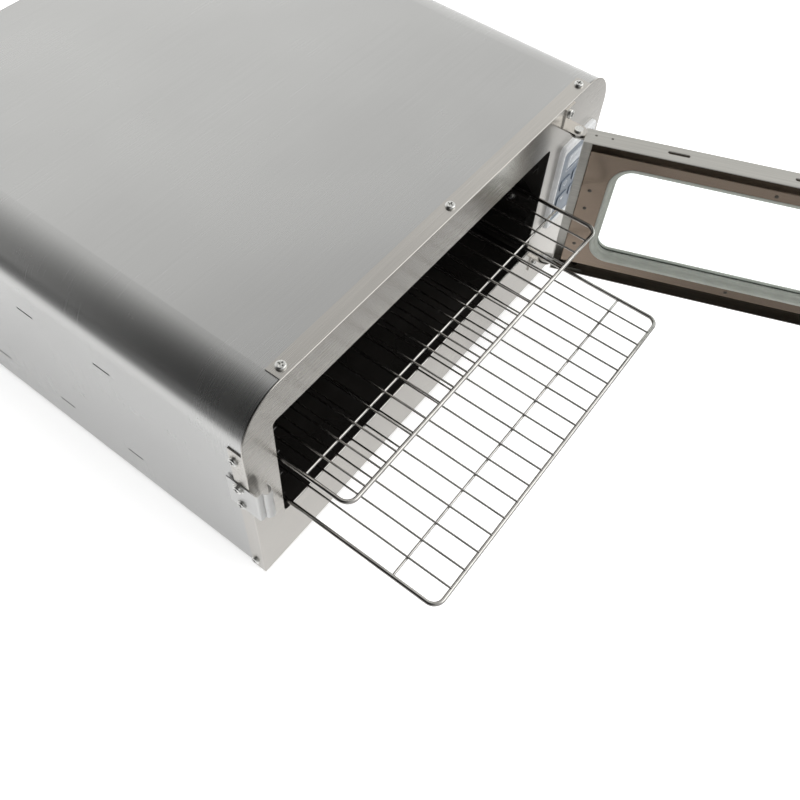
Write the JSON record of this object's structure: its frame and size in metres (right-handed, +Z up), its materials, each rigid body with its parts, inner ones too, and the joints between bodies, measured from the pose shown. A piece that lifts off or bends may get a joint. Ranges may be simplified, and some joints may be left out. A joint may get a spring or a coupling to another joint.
{
  "type": "food dehydrator",
  "caption": "Stainless food dehydrator with rounded top edges, a windowed door swung open to the right and two wire racks pulled part way out.",
  "frame": {"origin": "centre of the cabinet's footprint, on the surface that its feet stand on", "axes": "+Z up, -Y towards the user through the door opening, +X to the user's right"},
  "size_m": [0.6471, 0.923, 0.2704],
  "materials": {
    "stainless_sheet": "brushed, fine straight grain",
    "black_enamel": "black enamel, satin",
    "bright_fastener": "bright turned steel",
    "chromed_wire": "polished chromed wire",
    "silver_plastic": "light silver moulding",
    "blue_grey_overlay": "printed blue-grey film",
    "display_glass": "clear tinted window",
    "dark_plastic": "black moulding",
    "board_green": "solder-masked board",
    "heater_sheath": "oxidised heater sheath",
    "foot_rubber": "black rubber",
    "gasket_silicone": "grey-green silicone",
    "door_glass": "clear toughened glass",
    "fan_aluminium": "pressed aluminium",
    "key_plastic": "pale key caps"
  },
  "bodies": {
    "cabinet": {"outer_casing": "stainless_sheet", "base_pan": "stainless_sheet", "front_fascia": "stainless_sheet", "rear_cover": "stainless_sheet", "chamber_floor": "black_enamel", "chamber_roof": "black_enamel", "chamber_left_wall": "black_enamel", "chamber_right_wall": "black_enamel", "rear_baffle": "black_enamel", "left_rack_rails": "black_enamel", "right_rack_rails": "black_enamel", "fascia_top_screws": "bright_fastener", "fascia_side_screws": "bright_fastener", "rear_cover_screws": "bright_fastener", "latch_strap": "stainless_sheet", "latch_screws": "bright_fastener", "latch_washer": "bright_fastener", "upper_hinge_bracket": "stainless_sheet", "lower_hinge_bracket": "stainless_sheet", "hinge_pins": "bright_fastener", "hinge_screws": "bright_fastener", "control_bezel": "silver_plastic", "control_overlay": "blue_grey_overlay", "display_window": "display_glass", "display_module": "dark_plastic", "control_board": "board_green", "board_standoffs": "bright_fastener", "air_probe": "bright_fastener", "motor_bridge": "stainless_sheet", "fan_motor": "dark_plastic", "heater_element": "heater_sheath", "heater_clips": "bright_fastener", "thermal_cutout": "dark_plastic", "power_inlet": "dark_plastic", "inlet_screws": "bright_fastener", "power_board": "board_green", "rubber_feet": "foot_rubber", "feet_screws": "bright_fastener"},
    "door": {"door_skin": "stainless_sheet", "door_inner_pan": "stainless_sheet", "door_gasket": "gasket_silicone", "door_glass": "door_glass", "glass_tape": "gasket_silicone", "door_rivets": "bright_fastener", "door_handle": "stainless_sheet", "handle_screws": "bright_fastener", "upper_hinge_tab": "stainless_sheet", "lower_hinge_tab": "stainless_sheet"},
    "upper_rack": {"upper_rack_frame": "chromed_wire", "upper_rack_wires": "chromed_wire", "upper_rack_crossbars": "chromed_wire"},
    "lower_rack": {"lower_rack_frame": "chromed_wire", "lower_rack_wires": "chromed_wire", "lower_rack_crossbars": "chromed_wire"},
    "fan": {"fan_impeller": "fan_aluminium", "fan_shaft": "bright_fastener"},
    "power_key": {"power_key": "key_plastic"},
    "timer_key": {"timer_key": "key_plastic"},
    "temp_down_key": {"temp_down_key": "key_plastic"},
    "temp_up_key": {"temp_up_key": "key_plastic"}
  },
  "joints": [
    {"name": "door_hinge", "type": "hinge", "parent": "cabinet", "child": "door", "pos_m": [0.181, -0.2639, 0.1575], "axis": [0, 0, 1], "range_deg": [-111.6, 8.4]},
    {"name": "upper_rack_slide", "type": "slide", "parent": "cabinet", "child": "upper_rack", "axis": [0, -1, 0], "range_m": [-0.08929, 0.00673]},
    {"name": "lower_rack_slide", "type": "slide", "parent": "cabinet", "child": "lower_rack", "axis": [0, -1, 0], "range_m": [-0.27343, 0.02059]},
    {"name": "fan_spin", "type": "hinge", "parent": "cabinet", "child": "fan", "pos_m": [-0.03615, 0.2, 0.1575], "axis": [0, 1, 0], "continuous": true},
    {"name": "power_key_press", "type": "slide", "parent": "cabinet", "child": "power_key", "axis": [0, 1, 0], "range_m": [0, 0.0006], "stiffness_N_per_m": 600},
    {"name": "timer_key_press", "type": "slide", "parent": "cabinet", "child": "timer_key", "axis": [0, 1, 0], "range_m": [0, 0.0006], "stiffness_N_per_m": 600},
    {"name": "temp_down_key_press", "type": "slide", "parent": "cabinet", "child": "temp_down_key", "axis": [0, 1, 0], "range_m": [0, 0.0006], "stiffness_N_per_m": 600},
    {"name": "temp_up_key_press", "type": "slide", "parent": "cabinet", "child": "temp_up_key", "axis": [0, 1, 0], "range_m": [0, 0.0006], "stiffness_N_per_m": 600}
  ],
  "couplings": [
    {"joint": "upper_rack_slide", "follows": "door_hinge", "m_per_rad": 0.045837},
    {"joint": "lower_rack_slide", "follows": "door_hinge", "m_per_rad": 0.14037}
  ]
}
